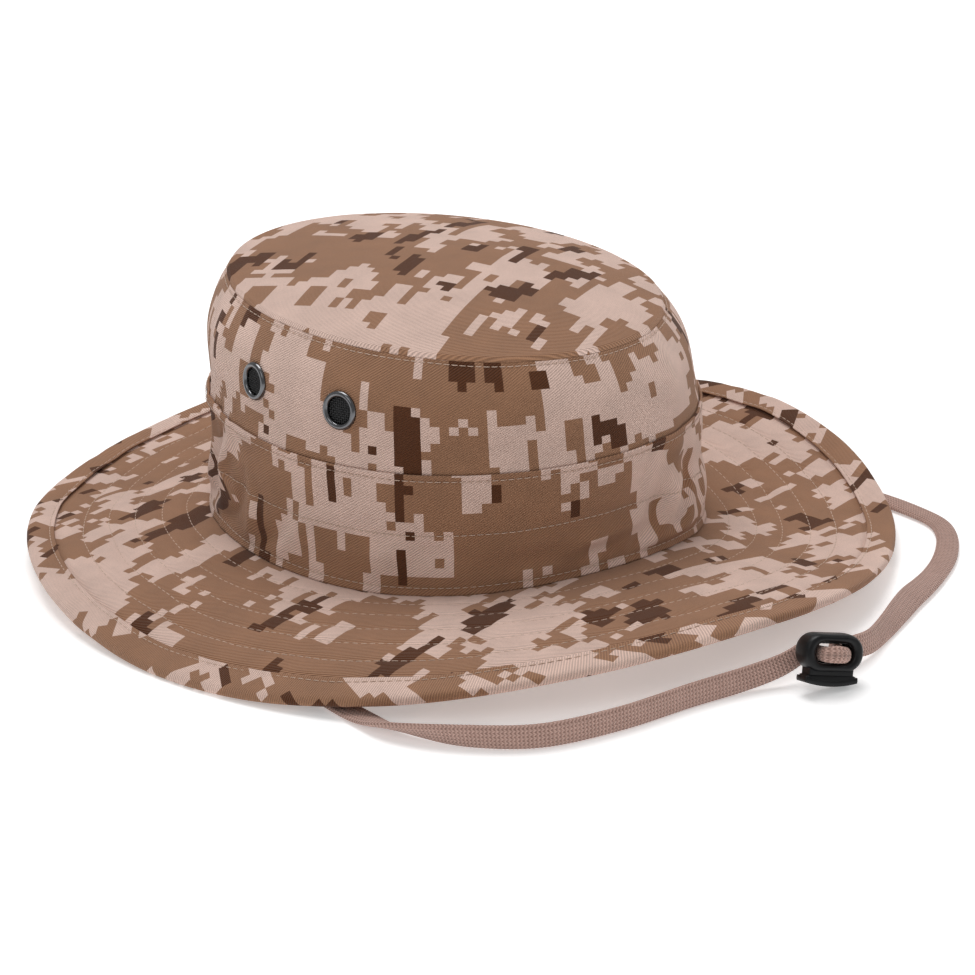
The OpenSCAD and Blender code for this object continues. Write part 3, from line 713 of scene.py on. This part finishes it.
def make_binding():
    """The tape folded round the brim's edge. Its section starts below, at the row of stitches."""
    section = [(-BIND_W, -0.35), (-BIND_W + 0.3, -0.7), (-BIND_W + 1, -0.72), (-BIND_W + 2, -0.6),
               (-7.5, -0.72), (-5, -0.75), (-2.5, -0.75), (-1, -0.7), (0, -0.5), (0.55, 0.0),
               (0.85, 0.7), (0.9, 1.25), (0.85, 1.8), (0.55, 2.5), (0, 3.0), (-1, 3.2), (-2.5, 3.25),
               (-5, 3.25), (-7.5, 3.22), (-BIND_W + 2, 3.05), (-BIND_W + 1, 3.45), (-BIND_W + 0.3, 3.65),
               (-BIND_W - 0.1, 3.4), (-BIND_W + 0.4, 2.9), (-5, 2.56), (-0.2, 2.5), (0.05, 1.25),
               (-0.2, 0), (-5, -0.06), (-BIND_W + 0.2, -0.06)]
    width = plan_w(TURN)
    rings = []
    for u, h in section:
        p = np.stack([TURN * 2.7, 0 * TURN + u * 0.3, 0 * TURN + (h > 1)], -1)
        ripple = 0.16 * rough_field(p, 6, 51) * (1 if h > 2.9 or h < -0.5 else 0)
        rings.append(brim(TURN, width + u + 0.25 * rough_field(p, 30, 52), h + ripple))
    rings = np.array(rings)
    length = np.array([arc(a) for a in TURN_UV]) * 1.6
    across = np.append(0, np.cumsum(np.hypot(*np.diff(np.array(section), axis=0).T))) * MM
    across = np.append(across, across[-1] + 0.001)
    u, w = np.meshgrid(length, across)
    uv = np.stack([(u + w) * 0.7071 + 2.2, (w - u) * 0.7071 + 0.3], -1)
    piece("brim_binding_tape", *surface(rings, uv), "binding_twill", nodes=["brim_binding"])


def strip(name, a0, a1, v0, v1, d_in, d_out, slot, body="hat", closed=False):
    """A layer inside the crown with rounded edges."""
    stations = max(12, int(a1 - a0))
    a = np.linspace(a0, a1, stations + (0 if closed else 1), endpoint=not closed)
    mid, half = (d_in + d_out) / 2, (d_out - d_in) / 2
    v = np.linspace(v0, v1, 9)
    soft = half / BAND_H
    section = [(s, d_out) for s in v[1:-1]] + [(v1 - soft * 0.4, d_out - half * 0.4), (v1, mid)]
    section += [(v1 - soft * 0.4, d_in + half * 0.4)] + [(s, d_in) for s in v[-2:0:-1]]
    section += [(v0 + soft * 0.4, d_in + half * 0.4), (v0, mid), (v0 + soft * 0.4, d_out - half * 0.4)]
    rings = np.array([crown(a, s, d) for s, d in section])
    length = np.array([arc(x if x <= 450 else x - 360) for x in (a % 360 + 360 * (a % 360 < 90))])
    length = np.append(length, length[-1] + 0.001)
    height = np.append(np.array(section)[:, 0] * BAND_H * MM, 0)
    u, w = np.meshgrid(length, height)
    cloth = surface(rings, np.stack([u, w], -1), around=closed)
    if not closed:
        cloth = cap(cloth, *rings.shape[:2], [0, 2], across=True)
    piece(name + "_cloth", *cloth, slot, body=body, nodes=[name])


# ---------------------------------------------------------------- stitches
def stitches(paths, name, node):
    """Rows of stitches. A path is a place function of 0 to 1 and a height, a height over the cloth, the row's
    length and a stitch's length."""
    parts = []
    for place, height, length, pitch in paths:
        count = int(length / pitch)
        start = (np.arange(count) + 0.08) / count
        span = 0.8 / count
        steps = np.array([0, 0.12, 0.5, 0.88, 1.0])
        lift = np.array([-0.1, 0.1, 0.16, 0.1, -0.1])
        t = start[:, None] + span * steps[None]
        line = place(t, height + lift[None])
        over = unit(place(t, height + lift[None] + 0.5) - line)
        side = np.cross(unit(np.gradient(line, axis=1)), over)
        size = np.array([0.09, 0.145, 0.15, 0.145, 0.09])
        turn = (np.arange(6) * 60)[:, None]
        section = side[:, :, None] * cosd(turn) * 1.15 + over[:, :, None] * sind(turn)
        ring = line[:, :, None] + section * size[None, :, None, None]
        base = np.arange(count)[:, None, None] * 30
        i, j = np.meshgrid(np.arange(4), np.arange(6), indexing="ij")
        quad = np.stack([i * 6 + j, i * 6 + (j + 1) % 6, (i + 1) * 6 + (j + 1) % 6, (i + 1) * 6 + j], -1)
        faces = (quad.reshape(1, -1, 4) + base).reshape(-1, 4)
        u = (i[..., None] + np.array([0, 0, 1, 1])) * pitch / 4 * MM
        w = (j[..., None] + np.array([0, 1, 1, 0])) * 0.0002
        uv = np.stack([u, w], -1).reshape(1, -1, 2) + (np.arange(count) * 0.0031)[:, None, None]
        parts.append((ring.reshape(-1, 3), faces.tolist(), uv.reshape(-1, 2)))
    piece(name, *join(*parts), "thread", nodes=[node])


def crown_row(v, d):
    def place(t, h):
        a = 90 + t * 360 + 0 * h
        wander = 0.004 * rough_field(np.stack([a * 1.7, 0 * a + v * 99, 0 * a], -1), 26, 61)
        return crown(a, v + wander, d + h)

    return place, 0.0, 603.0 if v < 1.5 else 545.0, 3.0


def brim_row(i, side):
    def place(t, h):
        a = 90 + t * 360 + 0 * h
        u = i * PITCH * plan_w(a) / BRIM_W
        u = u + 0.5 * rough_field(np.stack([a * 2, 0 * a + i * 50, 0 * a], -1), 22, 62)
        level = (BRIM_T if side > 0 else 0.0) + quilt(a, i * PITCH * plan_w(a) / BRIM_W, side)
        return brim(a, u, level + side * h)

    return place, -0.02, 2 * math.pi * (95 + i * PITCH), 3.4


def binding_row(side):
    def place(t, h):
        a = 90 + t * 360 + 0 * h
        u = plan_w(a) - BIND_W + 1.6 + 0.25 * rough_field(np.stack([a * 2, 0 * a, 0 * a], -1), 22, 63)
        return brim(a, u, (3.14 if side > 0 else -0.62) + side * h)

    return place, 0.0, 2 * math.pi * 160, 3.2


make_panel()
make_wall()
make_band()
brim_sheet("brim_upper_cloth", 1.8, BRIM_T, "camouflage_twill", "brim_upper", 1, (1.9, 0.37), 90)
brim_sheet("brim_stiffener_cloth", 0.78, 1.72, "stiffening_cloth", "brim_stiffener", 0, (0, 0))
brim_sheet("brim_lower_cloth", 0.0, TWILL, "camouflage_twill", "brim_lower", -1, (0.7, 1.6), 90)
make_binding()
strip("sweatband", 90, 450, 0.02, 0.72, -2.85, -1.85, "lining_twill", closed=True)
strip("size_strap", 110, 430, 0.06, 0.44, -1.8, -0.9, "webbing")
strip("loop_tape", 65, 120, 0.1, 0.5, -3.8, -2.9, "loop_fabric")
strip("strap_anchor", 50, 59.2, 0.1, 0.5, -6.3, -2.9, "webbing")
strip("adjuster_tab", 60.7, 110, 0.12, 0.48, -6.3, -5.1, "webbing", "adjuster")
strip("hook_pad", 69.7, 106.9, 0.14, 0.46, -5.05, -4.15, "hook_fabric", "adjuster")
strip("top_seam_tape", 90, 450, 1.8, 1.985, -1.35, -0.75, "seam_tape", closed=True)
strip("back_seam_tape", 85, 95, 1.0, 1.79, -1.35, -0.75, "seam_tape")
stitches([crown_row(0.06, 0.72), crown_row(0.5, 0.78), crown_row(0.955, 0.82), crown_row(1.955, -0.2)],
         "crown_stitches", "crown_thread")
stitches([brim_row(i, s) for i in range(1, ROWS + 1) for s in (1, -1)] + [binding_row(1), binding_row(-1)],
         "brim_stitches", "brim_thread")


# ---------------------------------------------------------------- vents
EYELET_R = 6.5


def lathe(profile, turns, place, axes):
    """A closed profile of radius and height turned about a vent's axis."""
    angle = np.arange(turns) * 360 / turns
    r, z = np.array(profile, float).T
    local = np.stack([r[:, None] * cosd(angle), r[:, None] * sind(angle), z[:, None] + 0 * angle], -1)
    rings = place + local @ axes.T
    length = np.append(0, np.cumsum(np.hypot(np.diff(r), np.diff(z))))
    around = np.arange(turns + 1) * EYELET_R * 2 * math.pi / turns
    u, w = np.meshgrid(around * MM, np.append(length, length[-1] + 0.1) * MM)
    return surface(rings, np.stack([u, w], -1))


WIRE_R = 0.17


def wires(place, axes, sag):
    """Two sets of woven wires across a vent's hole."""
    parts = []
    pitch, reach = 0.86, 5.0
    for direction in (0, 1):
        for k in range(-5, 6):
            offset = k * pitch
            half = math.sqrt(reach ** 2 - offset ** 2)
            t = np.linspace(-half, half, 34)
            z = sag + 0.16 * np.cos(np.pi * (t / pitch + k + direction))
            line = np.stack([t, 0 * t + offset, z] if direction == 0 else [0 * t + offset, t, z], -1)
            turn = (np.arange(5) * 72)[:, None]
            side = np.array([0, 1, 0]) if direction == 0 else np.array([1, 0, 0])
            section = side * cosd(turn) + np.array([0, 0, 1]) * sind(turn)
            ring = place + (line[:, None] + WIRE_R * section) @ axes.T
            u, w = np.meshgrid(np.arange(6) * 0.0002, t * MM + 0.01)
            points, faces, uvs = surface(ring, np.stack([u, w], -1), around=True, closed=False)
            parts.append((points, faces.tolist(), uvs))
    return parts


def make_vents():
    rings, backs, screens = [], [], []
    for a in VENTS:
        place, axes = vent_frame(a)
        bead = [(6.15 + 1.17 * cosd(t), 0.15 + 1.2 * sind(t)) for t in range(0, 181, 12)]
        profile = bead + [(4.95, -0.6), (4.9, -3), (5.2, -3), (5.3, -0.3), (7.0, -0.35), (7.25, -0.1)]
        rings.append(lathe(profile, 72, place, axes))
        washer = [(5.1, -2.7), (7.6, -2.7), (7.8, -2.5), (7.75, -2.1), (7.4, -2.0), (5.1, -2.0)]
        backs.append(lathe(washer, 72, place, axes))
        disc = [(0.02, -0.75), (5.0, -0.75), (5.0, -0.85), (0.02, -0.85)]
        screens.append(lathe(disc, 40, place, axes))
        screens.extend(wires(place, axes, -0.4))
    piece("vent_eyelet_rings", *join(*rings), "gunmetal", nodes=["vent_eyelets"])
    piece("vent_washer_rings", *join(*backs), "gunmetal", nodes=["vent_washers"])
    piece("vent_mesh_screens", *join(*screens), "black_mesh", nodes=["vent_screens"])


make_vents()


# ---------------------------------------------------------------- cord tabs, cord and lock
def cord_tab(name, a0, a1):
    """The folded cloth under the brim's root that holds an end of the cord."""
    a = np.linspace(a0, a1, 12)
    steps = (2.4, 6, 10, 14, 17.4)
    section = [(u, -4.3) for u in steps] + [(18, -3.9), (18.1, -2.3), (18, -0.7)]
    section += [(u, -0.35) for u in steps[::-1]] + [(2, -0.7), (1.9, -2.3), (2, -3.9)]
    rings = np.array([brim(a, u, h + (0.25 * math.cos(u) if h < -4 else 0)) for u, h in section])
    u, w = np.meshgrid(np.append(np.arange(12), 12) * 0.0012, np.append(np.arange(len(section)), 20) * 0.0025)
    cloth = cap(surface(rings, np.stack([u, w], -1), around=False), *rings.shape[:2], [0, 1], across=True)
    piece(name + "_cloth", *cloth, "camouflage_twill", nodes=[name])


cord_tab("cord_tab_left", -8, 0)
cord_tab("cord_tab_right", 180, 188)


def bend(route, step):
    """Points along a smooth curve through the route, a step apart."""
    q = np.array(route, float)
    q = np.vstack([2 * q[0] - q[1], q, 2 * q[-1] - q[-2]])
    q[0, 3:], q[-1, 3:] = q[1, 3:], q[-2, 3:]
    t = np.linspace(0, 1, 40, endpoint=False)[:, None]
    out = []
    for i in range(1, len(q) - 2):
        a, b, c, d = q[i - 1], q[i], q[i + 1], q[i + 2]
        curve = 2 * b + (c - a) * t + (2 * a - 5 * b + 4 * c - d) * t ** 2
        out.append((curve + (3 * b - a - 3 * c + d) * t ** 3) / 2)
    out = np.vstack(out + [q[-2][None]])
    s = np.append(0, np.cumsum(np.linalg.norm(np.diff(out[:, :3], axis=0), axis=1)))
    even = np.linspace(0, s[-1], int(s[-1] / step) + 1)
    return np.stack([np.interp(even, s, out[:, k]) for k in range(out.shape[1])], -1), even


CORD_SIDES = 36
IN_WINDOW = (-0.0125, -0.2067, 0.0146)


def make_cord():
    """The braid swept along its route: flat with round edges, and a thick dome in the lock's window."""
    line, s = bend(ROUTE, 0.0004)
    along = unit(np.gradient(line[:, :3], axis=0))
    side = unit(np.stack([-along[:, 1], along[:, 0], 0 * s], -1))
    rise = -np.cross(along, side)
    lie = line[:, 3:4]
    across = side * sind(lie) + rise * cosd(lie)
    through = side * cosd(lie) - rise * sind(lie)
    turn = (np.arange(CORD_SIDES) + 0.5) * 360 / CORD_SIDES
    c, z = cosd(turn), sind(turn)
    near = s - s[np.argmin(np.linalg.norm(line[:, :3] - IN_WINDOW, axis=1))]
    dome = np.exp(-(near / 0.0085) ** 2)[:, None]
    narrow = (0.18 * (1 - np.exp(-(near / 0.0042) ** 2)) * np.exp(-(near / 0.012) ** 2))[:, None]
    wide = np.sign(c) * np.abs(c) ** (0.62 + 0.45 * dome) * (1 - narrow) + narrow
    thick = np.sign(z) * np.abs(z) ** (0.72 + 0.2 * dome) * (1 + 1.1 * dome)
    x = np.sign(c) * np.abs(c) ** 0.62
    y = np.sign(z) * np.abs(z) ** 0.72
    edge = np.append(0, np.cumsum(np.hypot(np.diff(x) * 4.7, np.diff(y) * 1.2))) * MM
    column = np.abs((edge / BRAID_COLUMN) % 1 - 0.5) * BRAID_COLUMN
    weave = np.sin(2 * math.pi * (s[:, None] + column[None]) / BRAID_PITCH)
    out = (across[:, None] * (wide * line[:, 4:5] / 2)[..., None]
           + through[:, None] * (thick * CORD_T / 2)[..., None])
    out = out + unit(out) * (0.00007 * weave)[..., None]
    rings = (line[:, None, :3] + out) / MM
    u, w = np.meshgrid(np.append(edge, edge[-1] + 0.0004), s)
    braid = surface(rings, np.stack([w, u], -1), around=True, closed=False)
    o = piece("chin_cord_braid", *cap(braid, len(rings), CORD_SIDES, [0, 1]), "braid", nodes=["chin_cord"])
    return o, line[::6, :3], float(s[-1])


cord, cord_path, cord_length = make_cord()


BUTTON_R = 40.0  # the curve of the button's underside


def lock_frame():
    """The lock's place: it leans back and rolls on the curved underside of its button. Millimetres."""
    def turn(axis, angle):
        c, s = cosd(angle), sind(angle)
        i, j = [(1, 2), (2, 0), (0, 1)][axis]
        m = np.eye(3)
        m[i, i], m[i, j], m[j, i], m[j, j] = c, -s, s, c
        return m

    lean = turn(2, -20) @ turn(0, -14)
    axes = lean @ turn(1, 14)
    middle = np.array([0, 0, BUTTON_R])
    return np.array([-5, -206, 1.1]) + lean @ middle - axes @ middle, axes


LOCK_AT, LOCK_AXES = lock_frame()


def rounded(w, h, r, n=96):
    """A rounded rectangle's outline about its middle, evenly spaced, starting at the right."""
    t = np.arange(720) * 0.5
    x = (w / 2 - r) * np.sign(cosd(t)) + r * cosd(t)
    y = (h / 2 - r) * np.sign(sind(t)) + r * sind(t)
    p = np.stack([x, y], -1)
    p = np.vstack([p, p[:1]])
    s = np.append(0, np.cumsum(np.linalg.norm(np.diff(p, axis=0), axis=1)))
    even = np.linspace(0, s[-1], n, endpoint=False)
    return np.stack([np.interp(even, s, p[:, k]) for k in (0, 1)], -1)


def frame_ring(outer, inner, depth, soft, middle, shift=0.0):
    """A ring between two outlines of equal count, with rounded edges, standing in the lock's own XZ plane."""
    count = 28
    turn = np.arange(count) * 360 / count
    f = 0.5 - 0.5 * np.sign(cosd(turn)) * np.abs(cosd(turn)) ** soft
    y = -np.sign(sind(turn)) * np.abs(sind(turn)) ** soft
    rings = []
    for inward, out in zip(f, y):
        flat = outer * (1 - inward) + (inner + (0, shift)) * inward
        rings.append(np.stack([flat[:, 0], 0 * flat[:, 0] + out * depth / 2, flat[:, 1] + middle], -1))
    u, w = np.meshgrid(np.arange(len(outer) + 1) * 0.0007, np.arange(count + 1) * 0.0009)
    return surface(np.array(rings), np.stack([u, w], -1))


def to_lock(part):
    """A part from the lock's own axes to the hat's."""
    points, faces, uvs = part
    return points @ LOCK_AXES.T + LOCK_AT, faces, uvs


RING_MIDDLE = 12.0
CAVITY_X, CAVITY_Y, CAVITY_TOP = 9, 3.3, 17.4


def make_lock_ring():
    """The ring round the window, with the cavity that the plunger slides in cut out of it."""
    body = frame_ring(rounded(23.8, 13.6, 6.5), rounded(14.0, 7.0, 3.2), 10.2, 0.7, RING_MIDDLE)
    o = piece("lock_body_shell", *to_lock(body), "black_plastic", nodes=["lock_body"])
    corners = np.array([(x, y, z) for x in (-CAVITY_X, CAVITY_X) for y in (-CAVITY_Y, CAVITY_Y)
                        for z in (-1, CAVITY_TOP)], float)
    corners = (corners @ LOCK_AXES.T + LOCK_AT) * MM
    mesh = bpy.data.meshes.new("cavity")
    mesh.from_pydata(corners.tolist(), [], [(0, 1, 3, 2), (4, 6, 7, 5), (0, 4, 5, 1), (2, 3, 7, 6),
                                            (0, 2, 6, 4), (1, 5, 7, 3)])
    cutter = bpy.data.objects.new("cavity", mesh)
    bpy.context.scene.collection.objects.link(cutter)
    cut = o.modifiers.new("cavity", "BOOLEAN")
    cut.operation, cut.object, cut.solver = "DIFFERENCE", cutter, "EXACT"
    bpy.context.view_layer.update()
    shaped = bpy.data.meshes.new_from_object(o.evaluated_get(bpy.context.evaluated_depsgraph_get()))
    o.modifiers.clear()
    o.data = shaped
    bpy.data.objects.remove(cutter)
    return o


def lock_button():
    """The button's foot, thin and curved, for a thumb."""
    rings, count = [], 40
    for x in np.concatenate([[-10.35], np.linspace(-10.2, 10.2, 41), [10.35]]):
        low = BUTTON_R - math.sqrt(BUTTON_R ** 2 - x * x)
        high = low * 0.8 + 2.35
        soft = 0.5 if abs(x) > 10.3 else 0.0
        outline = rounded(7.6 - 2 * soft, high - low - soft, 0.55, count)
        rings.append(np.stack([0 * outline[:, 0] + x, outline[:, 0], outline[:, 1] + (high + low) / 2], -1))
    u, w = np.meshgrid(np.arange(count + 1) * 0.0005, np.arange(len(rings) + 1) * 0.0005)
    foot = surface(np.array(rings), np.stack([u, w], -1), around=True, closed=False)
    return cap(foot, len(rings), count, [1, 2])


def lock_collar():
    """The step between the button's foot and its stem."""
    levels = [(1.6, 0.6), (1.6, 1.0), (2.2, 1.0), (2.8, 0.985), (3.4, 0.965), (3.75, 0.95), (3.9, 0.9)]
    outline = rounded(20.0, 7.3, 0.9, 64)
    x, y = outline.T
    rings = np.array([np.stack([x * k, y * k, 0 * x + z], -1) for z, k in levels])
    u, w = np.meshgrid(np.arange(len(x) + 1) * 0.0008, np.arange(len(levels) + 1) * 0.0008)
    return cap(surface(rings, np.stack([u, w], -1), closed=False), len(levels), len(x), [0, 1])


def make_plunger():
    stem = frame_ring(rounded(17.6, 13.5, 0.8), rounded(14.6, 7.9, 0.8), 6.2, 0.3, 9.15, 2.1)
    part = to_lock(join(stem, lock_button(), lock_collar()))
    return piece("lock_plunger_shell", *part, "black_plastic", body="plunger", nodes=["lock_plunger"])


def make_leaf_spring():
    """A bowed strip between the stem's top and the cavity's, which flattens as the button goes in."""
    stem_top, thick, play = 15.2, 0.3, 0.8
    x = np.linspace(-5.9, 5.9, 33)
    rise = CAVITY_TOP - stem_top - thick - play
    r = (36 + rise ** 2) / 2 / rise
    z = 15.95 + rise - r + np.sqrt(r * r - x * x)
    section = [(-2, 0), (-1.9, 0.28), (0, thick), (1.9, 0.28), (2, 0), (0, 0)]
    rings = np.array([np.stack([x, 0 * x + y, z + t], -1) for y, t in section])
    u, w = np.meshgrid(np.append(x, 7) * MM, np.arange(len(section) + 1) * 0.001)
    strip_part = surface(rings, np.stack([u, w], -1), around=False)
    part = to_lock(cap(strip_part, len(section), len(x), [1, 2], across=True))
    spring = piece("lock_leaf_spring", *part, "spring_steel", nodes=["lock_spring"])
    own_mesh(spring)
    return spring


lock_parts = [make_lock_ring(), make_plunger(), make_leaf_spring()]


# ---------------------------------------------------------------- floor
def make_floor():
    m = Nodes("floor")
    grain = m.noise(m.uv(), 900.0, 2.0)
    m.set(Base_Color=(0.95, 0.95, 0.95, 1), Roughness=0.6, Emission_Color=(1, 1, 1, 1), Emission_Strength=0.3,
          Specular_IOR_Level=0.1, Normal=m.bump(grain, 0.00002, 0.2))
    mesh = bpy.data.meshes.new("floor")
    mesh.from_pydata([(-8, -8, 0), (8, -8, 0), (8, 8, 0), (-8, 8, 0)], [], [(0, 1, 2, 3)])
    mesh.uv_layers.new(name="cloth")
    mesh.materials.append(m.mat)
    o = bpy.data.objects.new("floor", mesh)
    bpy.context.scene.collection.objects.link(o)
    o.location.z = -0.0002


make_floor()
